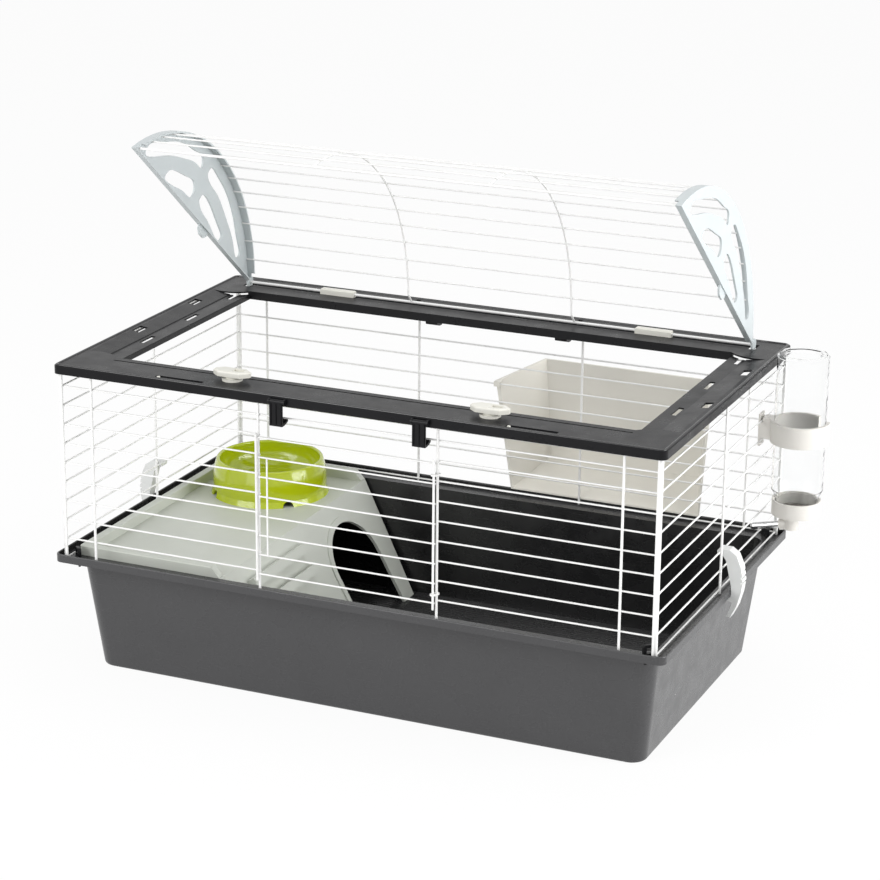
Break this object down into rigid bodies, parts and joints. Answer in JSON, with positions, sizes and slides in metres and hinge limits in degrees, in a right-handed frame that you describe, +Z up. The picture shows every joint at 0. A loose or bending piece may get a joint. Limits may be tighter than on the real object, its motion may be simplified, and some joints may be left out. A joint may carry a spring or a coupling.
{
  "type": "small animal cage",
  "caption": "Wire small animal cage on a deep plastic tray, with a hinged wire-roofed lid, a house with a ramp, a bowl, a hay rack and a drinker.",
  "frame": {"origin": "middle of the flat underside of the tray", "axes": "+X along the cage to its right, +Y to the back, +Z up"},
  "size_m": [1.0594, 0.6744, 0.7839],
  "materials": {
    "tray_plastic": "fine moulded satin",
    "black_plastic": "semi-gloss moulded",
    "white_wire": "white powder coat",
    "ivory_plastic": "semi-gloss moulded",
    "lid_plastic": "satin moulded",
    "clip_plastic": "semi-gloss moulded",
    "house_plastic": "fine-textured satin",
    "lime_plastic": "high gloss",
    "rack_plastic": "satin moulded",
    "clear_plastic": "clear polished",
    "drinker_plastic": "semi-gloss moulded",
    "seal_rubber": "soft matt",
    "spout_steel": "polished"
  },
  "bodies": {
    "root": {"bottle_ring": "drinker_plastic", "corner_brackets": "black_plastic", "front_panel": "white_wire", "front_rail": "black_plastic", "hinge_retainer_left": "ivory_plastic", "hinge_retainer_right": "ivory_plastic", "latch_base_left": "ivory_plastic", "latch_base_right": "ivory_plastic", "left_panel": "white_wire", "left_rail": "black_plastic", "rear_panel": "white_wire", "rear_rail": "black_plastic", "right_panel": "white_wire", "right_rail": "black_plastic", "ring_hook_plate": "drinker_plastic", "tray": "tray_plastic"},
    "lid": {"lid_hinge_wire": "white_wire", "lid_front_wire": "white_wire", "lid_wires": "white_wire", "lid_arches": "white_wire", "lid_end_left": "lid_plastic", "lid_end_right": "lid_plastic"},
    "door": {"front_door": "white_wire", "door_hinge_loops": "white_wire"},
    "latch_left": {"lid_latch_left": "ivory_plastic"},
    "latch_right": {"lid_latch_right": "ivory_plastic"},
    "clip_front_left": {"rail_clip_front_left": "black_plastic"},
    "clip_front_right": {"rail_clip_front_right": "black_plastic"},
    "clip_rear_left": {"rail_clip_rear_left": "black_plastic"},
    "clip_rear_right": {"rail_clip_rear_right": "black_plastic"},
    "claw_left": {"side_clip_left": "clip_plastic"},
    "claw_right": {"side_clip_right": "clip_plastic"},
    "house": {"house_platform": "house_plastic", "house_ramp": "house_plastic"},
    "food_bowl": {"bowl": "lime_plastic"},
    "rack": {"hay_rack": "rack_plastic"},
    "drinker": {"drinker_cap": "drinker_plastic", "bottle_seal": "seal_rubber", "spout_tube": "spout_steel"},
    "water_bottle": {"bottle": "clear_plastic"},
    "ball": {"spout_ball": "spout_steel"}
  },
  "joints": [
    {"name": "lid_hinge", "type": "hinge", "parent": "root", "child": "lid", "pos_m": [0, 0.245, 0.486], "axis": [-1, 0, 0], "range_deg": [-38.8, 56.2]},
    {"name": "door_hinge", "type": "hinge", "parent": "root", "child": "door", "pos_m": [0.139, -0.2793, 0.31], "axis": [0, 0, 1], "range_deg": [0, 110]},
    {"name": "latch_left_turn", "type": "hinge", "parent": "root", "child": "latch_left", "pos_m": [-0.2, -0.24, 0.489], "axis": [0, 0, 1], "range_deg": [0, 90]},
    {"name": "latch_right_turn", "type": "hinge", "parent": "root", "child": "latch_right", "pos_m": [0.2, -0.24, 0.489], "axis": [0, 0, 1], "range_deg": [0, 90]},
    {"name": "clip_front_left_swing", "type": "hinge", "parent": "root", "child": "clip_front_left", "pos_m": [-0.104, -0.29, 0.476], "axis": [-1, 0, 0], "range_deg": [0, 80]},
    {"name": "clip_front_right_swing", "type": "hinge", "parent": "root", "child": "clip_front_right", "pos_m": [0.116, -0.29, 0.476], "axis": [-1, 0, 0], "range_deg": [0, 80]},
    {"name": "clip_rear_left_swing", "type": "hinge", "parent": "root", "child": "clip_rear_left", "pos_m": [-0.116, 0.29, 0.476], "axis": [1, 0, 0], "range_deg": [0, 80]},
    {"name": "clip_rear_right_swing", "type": "hinge", "parent": "root", "child": "clip_rear_right", "pos_m": [0.104, 0.29, 0.476], "axis": [1, 0, 0], "range_deg": [0, 80]},
    {"name": "claw_left_swing", "type": "hinge", "parent": "root", "child": "claw_left", "pos_m": [-0.462, 0.012, 0.2425], "axis": [0, 1, 0], "range_deg": [0, 75]},
    {"name": "claw_right_swing", "type": "hinge", "parent": "root", "child": "claw_right", "pos_m": [0.462, 0.012, 0.2425], "axis": [0, -1, 0], "range_deg": [0, 75]},
    {"name": "house_lift", "type": "slide", "parent": "root", "child": "house", "axis": [0, 0, 1], "range_m": [0, 0.12]},
    {"name": "bowl_lift", "type": "slide", "parent": "house", "child": "food_bowl", "axis": [0, 0, 1], "range_m": [0, 0.1]},
    {"name": "rack_lift", "type": "slide", "parent": "root", "child": "rack", "axis": [0, 0, 1], "range_m": [0, 0.02]},
    {"name": "drinker_turn", "type": "hinge", "parent": "root", "child": "drinker", "pos_m": [0.518, 0.19, 0.31], "axis": [0, 0, 1], "range_deg": [-20, 20]},
    {"name": "bottle_lift", "type": "slide", "parent": "drinker", "child": "water_bottle", "axis": [0, 0, 1], "range_m": [0, 0.15]},
    {"name": "ball_valve", "type": "slide", "parent": "drinker", "child": "ball", "axis": [0.9754, 0, 0.2203], "range_m": [0, 0.0015]}
  ]
}
